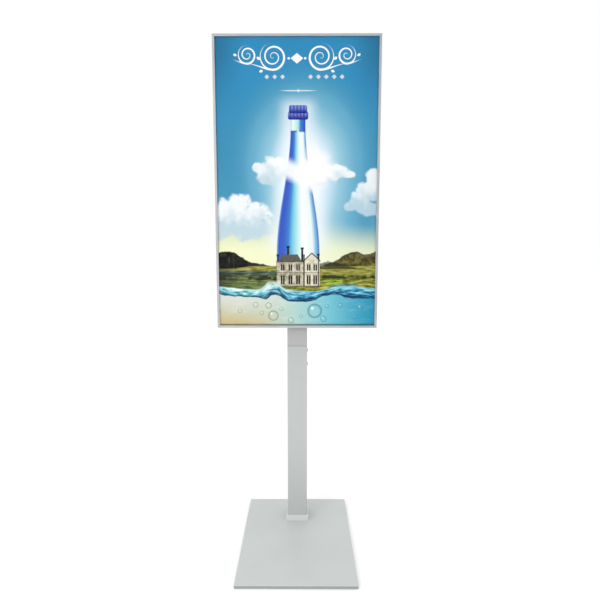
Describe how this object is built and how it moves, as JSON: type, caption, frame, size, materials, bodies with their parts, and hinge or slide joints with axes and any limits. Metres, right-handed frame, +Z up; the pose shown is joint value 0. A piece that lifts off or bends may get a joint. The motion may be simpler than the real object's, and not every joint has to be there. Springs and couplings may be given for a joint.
{
  "type": "sign stand",
  "caption": "Free-standing poster sign: snap-open framed panel on a square post that slides in a lower post, clamped by side screws, on a flat rectangular base plate.",
  "frame": {"origin": "on the floor under the centre of the base plate", "axes": "+Z up, +X to the viewer's right, the poster faces -Y"},
  "size_m": [0.47, 0.42, 1.454],
  "materials": {
    "painted_steel": "satin powder coat",
    "painted_steel_shade": "satin powder coat",
    "pad_rubber": "matt",
    "plain_steel": "bare",
    "spring_steel": "bright",
    "zinc_screws": "zinc plated",
    "glide_plastic": "moulded",
    "cap_plastic": "moulded",
    "silver_aluminium": "satin anodised",
    "board": "rigid foam board",
    "printed_paper": "printed",
    "clear_sheet": "clear gloss"
  },
  "bodies": {
    "stand": {"base_plate": "painted_steel", "foot_pads": "pad_rubber", "post_foot_plug": "plain_steel", "base_screws": "zinc_screws", "post_collar": "painted_steel", "lower_post": "painted_steel", "clamp_nut_plate": "plain_steel", "glide_bush": "glide_plastic"},
    "display": {"upper_post": "painted_steel_shade", "post_top_cap": "cap_plastic", "spigot_tube": "plain_steel", "spigot_spacer": "plain_steel", "spigot_glide": "glide_plastic", "spigot_screws": "zinc_screws", "spigot_nuts": "zinc_screws", "crossbar_lower": "painted_steel_shade", "crossbar_upper": "painted_steel_shade", "crossbar_caps": "cap_plastic", "rail_bolts": "zinc_screws", "rail_washers": "zinc_screws", "rail_nuts": "zinc_screws", "frame_screws": "zinc_screws", "frame_rail_top": "silver_aluminium", "frame_rail_bottom": "silver_aluminium", "frame_rail_left": "silver_aluminium", "frame_rail_right": "silver_aluminium", "corner_keys": "plain_steel", "backboard": "board", "poster": "printed_paper", "clear_cover": "clear_sheet", "snap_springs": "spring_steel"},
    "clamp_screw_lower": {"clamp_screw_lower": "zinc_screws"},
    "clamp_screw_upper": {"clamp_screw_upper": "zinc_screws"},
    "snap_cover_top": {"snap_cover_top": "silver_aluminium"},
    "snap_cover_bottom": {"snap_cover_bottom": "silver_aluminium"},
    "snap_cover_left": {"snap_cover_left": "silver_aluminium"},
    "snap_cover_right": {"snap_cover_right": "silver_aluminium"}
  },
  "joints": [
    {"name": "height", "type": "slide", "parent": "stand", "child": "display", "axis": [0, 0, 1], "range_m": [0, 0.15]},
    {"name": "clamp_screw_lower_turn", "type": "hinge", "parent": "stand", "child": "clamp_screw_lower", "pos_m": [0.03, 0.115, 0.509], "axis": [1, 0, 0], "range_deg": [0, 360]},
    {"name": "clamp_screw_upper_turn", "type": "hinge", "parent": "stand", "child": "clamp_screw_upper", "pos_m": [0.03, 0.115, 0.552], "axis": [1, 0, 0], "range_deg": [0, 360]},
    {"name": "cover_top_open", "type": "hinge", "parent": "display", "child": "snap_cover_top", "pos_m": [0, 0.061, 1.4516], "axis": [-1, 0, 0], "range_deg": [0, 90]},
    {"name": "cover_bottom_open", "type": "hinge", "parent": "display", "child": "snap_cover_bottom", "pos_m": [0, 0.061, 0.6344], "axis": [1, 0, 0], "range_deg": [0, 90]},
    {"name": "cover_left_open", "type": "hinge", "parent": "display", "child": "snap_cover_left", "pos_m": [-0.2326, 0.061, 1.043], "axis": [0, 0, -1], "range_deg": [0, 90]},
    {"name": "cover_right_open", "type": "hinge", "parent": "display", "child": "snap_cover_right", "pos_m": [0.2326, 0.061, 1.043], "axis": [0, 0, 1], "range_deg": [0, 90]}
  ]
}
